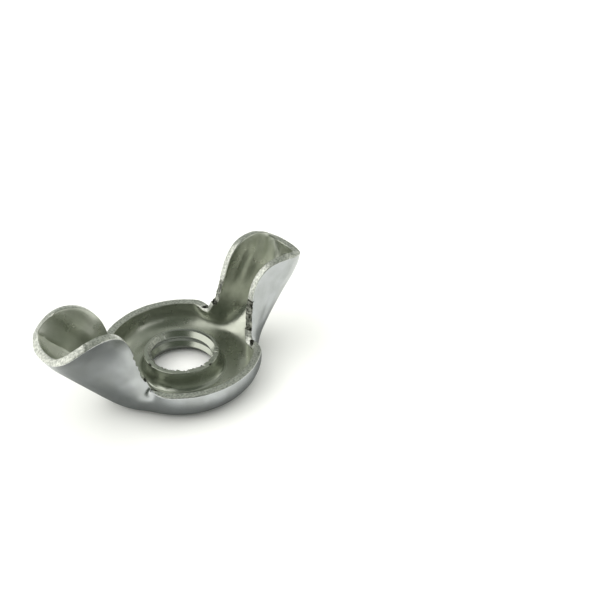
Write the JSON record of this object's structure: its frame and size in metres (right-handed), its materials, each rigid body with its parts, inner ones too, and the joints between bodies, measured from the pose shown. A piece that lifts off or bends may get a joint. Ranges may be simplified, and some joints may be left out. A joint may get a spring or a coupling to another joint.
{
  "type": "wing nut",
  "caption": "Pressed sheet-steel wing nut: a dished pan with a drawn, tapped collar and folded channel wings for turning by hand.",
  "frame": {"origin": "centre of the flat bearing face, on the thread axis", "axes": "+Z along the thread axis from the bearing face towards the wing tips, +X along the span towards the right wing"},
  "size_m": [0.031, 0.0172, 0.0121],
  "materials": {
    "zinc_plated_steel": "bright zinc plate, satin gloss with faint draw lines",
    "tapped_steel": "bright zinc plate over a tapped thread with ragged crests"
  },
  "bodies": {
    "root": {"hub_pan": "zinc_plated_steel", "threaded_collar": "tapped_steel", "left_wing": "zinc_plated_steel", "right_wing": "zinc_plated_steel"}
  },
  "joints": []
}
